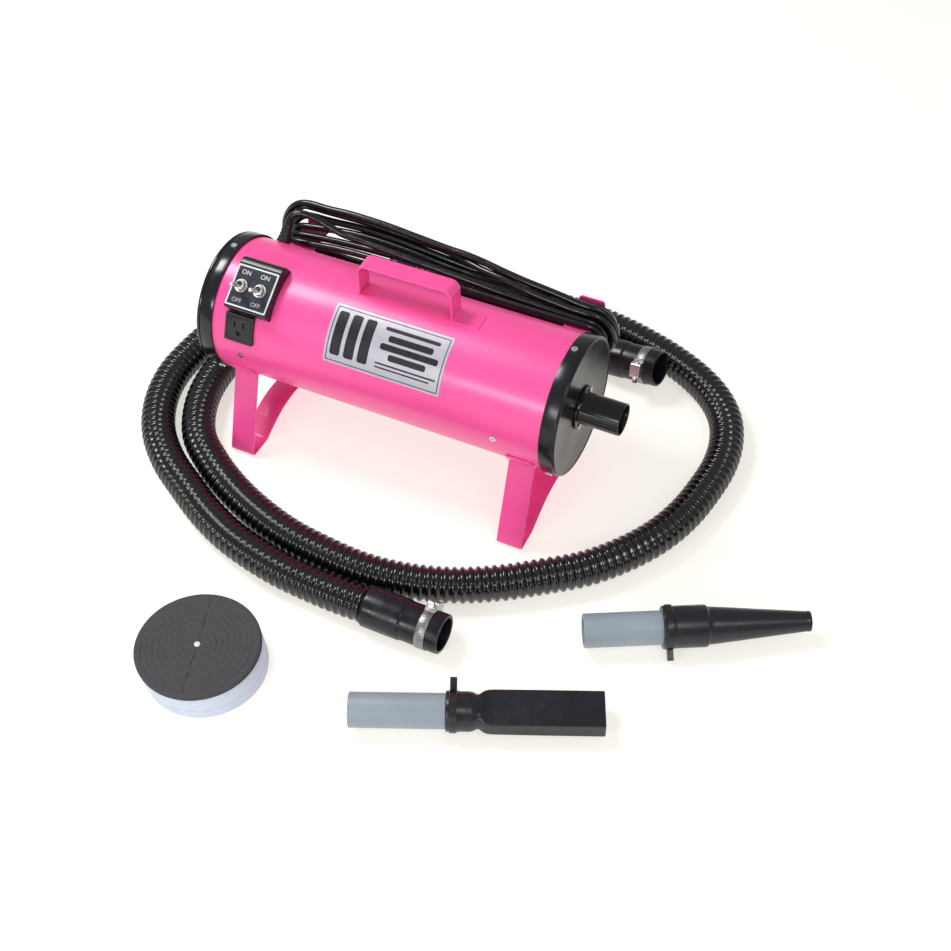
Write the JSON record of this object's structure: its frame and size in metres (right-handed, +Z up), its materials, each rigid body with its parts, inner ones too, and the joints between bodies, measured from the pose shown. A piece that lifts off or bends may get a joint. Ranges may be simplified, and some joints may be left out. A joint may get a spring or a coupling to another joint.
{
  "type": "pet dryer",
  "caption": "Pink twin-motor cylinder pet dryer on hoop legs, with lead hooks, ribbed hose, slot nozzle, cone nozzle and spare filter.",
  "frame": {"origin": "on the floor, under the middle of the box round the dryer, both nozzles and the filter", "axes": "+X along the body towards the air outlet, +Y to the rear (lead side), +Z up"},
  "size_m": [0.9854, 0.8595, 0.3133],
  "materials": {
    "paint_pink": "gloss hot-pink enamel",
    "cap_black": "gloss black enamel",
    "tube_black": "satin black moulding",
    "screw_steel": "bright plated",
    "plate_dark": "satin dark print on a bright plate",
    "switch_plastic": "moulded",
    "nut_steel": "bright plated",
    "toggle_chrome": "bright plated",
    "socket_plastic": "moulded",
    "label_silver": "satin foil label",
    "ring_steel": "pressed",
    "gasket_rubber": "sponge",
    "can_aluminium": "spun",
    "stator_iron": "laminated",
    "bearing_steel": "ground",
    "rotor_metal": "fan wheel and wound armature",
    "gland_rubber": "moulded",
    "lead_rubber": "smooth jacket",
    "plug_rubber": "moulded",
    "hose_black": "gloss ribbed",
    "cuff_rubber": "satin",
    "clamp_steel": "bright band",
    "tube_grey": "satin grey tube",
    "clip_black": "moulded",
    "nozzle_black": "satin black",
    "filter_white": "moulded, bluish white",
    "foam_grey": "open-cell foam",
    "button_white": "moulded"
  },
  "bodies": {
    "dryer": {"body_shell": "paint_pink", "intake_cap": "cap_black", "intake_grille": "cap_black", "outlet_cap": "cap_black", "outlet_tube": "tube_black", "outlet_screws": "screw_steel", "cap_screws": "screw_steel", "body_screws": "screw_steel", "leg_left": "paint_pink", "leg_right": "paint_pink", "handle": "paint_pink", "hook_left": "paint_pink", "hook_right": "paint_pink", "switch_box": "cap_black", "switch_plate": "plate_dark", "switch_bodies": "switch_plastic", "switch_nuts": "nut_steel", "receptacle": "socket_plastic", "label": "label_silver", "mount_rings": "ring_steel", "mount_gaskets": "gasket_rubber", "motor_cans": "can_aluminium", "stators": "stator_iron", "bearings": "bearing_steel", "lead_gland": "gland_rubber", "lead_start": "lead_rubber", "lead_hank": "lead_rubber", "lead_tail": "lead_rubber", "plug": "plug_rubber"},
    "toggle_left_body": {"toggle_left": "toggle_chrome"},
    "toggle_right_body": {"toggle_right": "toggle_chrome"},
    "rotor_intake_body": {"rotor_intake": "rotor_metal"},
    "rotor_outlet_body": {"rotor_outlet": "rotor_metal"},
    "hose_assembly": {"hose": "hose_black", "cuff_front": "cuff_rubber", "cuff_rear": "cuff_rubber", "clamp_front": "clamp_steel", "clamp_rear": "clamp_steel"},
    "worm_front_body": {"worm_front": "clamp_steel"},
    "worm_rear_body": {"worm_rear": "clamp_steel"},
    "slot_nozzle": {"slot_tube": "tube_grey", "slot_clip": "clip_black", "slot_tip": "nozzle_black"},
    "cone_nozzle": {"cone_tube": "tube_grey", "cone_clip": "clip_black", "cone_tip": "nozzle_black"},
    "filter": {"filter_case": "filter_white", "filter_foam": "foam_grey", "filter_button": "button_white"}
  },
  "joints": [
    {"name": "toggle_left_hinge", "type": "hinge", "parent": "dryer", "child": "toggle_left_body", "pos_m": [-0.36725, 0.12708, 0.2609], "axis": [-1, 0, 0], "range_deg": [0, 22]},
    {"name": "toggle_right_hinge", "type": "hinge", "parent": "dryer", "child": "toggle_right_body", "pos_m": [-0.33975, 0.12708, 0.2609], "axis": [-1, 0, 0], "range_deg": [0, 22]},
    {"name": "rotor_intake_spin", "type": "hinge", "parent": "dryer", "child": "rotor_intake_body", "pos_m": [-0.322, 0.183, 0.178], "axis": [1, 0, 0], "continuous": true},
    {"name": "rotor_outlet_spin", "type": "hinge", "parent": "dryer", "child": "rotor_outlet_body", "pos_m": [-0.052, 0.183, 0.178], "axis": [1, 0, 0], "continuous": true},
    {"name": "hose_place", "type": "slide", "parent": "dryer", "child": "hose_assembly", "axis": [0, 0, 1], "range_m": [0, 0.1]},
    {"name": "worm_front_turn", "type": "hinge", "parent": "hose_assembly", "child": "worm_front_body", "pos_m": [0.0035, -0.08252, 0.04794], "axis": [0, 0.6691, -0.7431], "continuous": true},
    {"name": "worm_rear_turn", "type": "hinge", "parent": "hose_assembly", "child": "worm_rear_body", "pos_m": [0.07778, 0.39469, 0.05488], "axis": [-0.1026, 0.4232, 0.9002], "continuous": true},
    {"name": "slot_nozzle_place", "type": "slide", "parent": "dryer", "child": "slot_nozzle", "axis": [0, 0, 1], "range_m": [0, 0.3]},
    {"name": "cone_nozzle_place", "type": "slide", "parent": "dryer", "child": "cone_nozzle", "axis": [0, 0, 1], "range_m": [0, 0.3]},
    {"name": "filter_place", "type": "slide", "parent": "dryer", "child": "filter", "axis": [0, 0, 1], "range_m": [0, 0.3]}
  ]
}
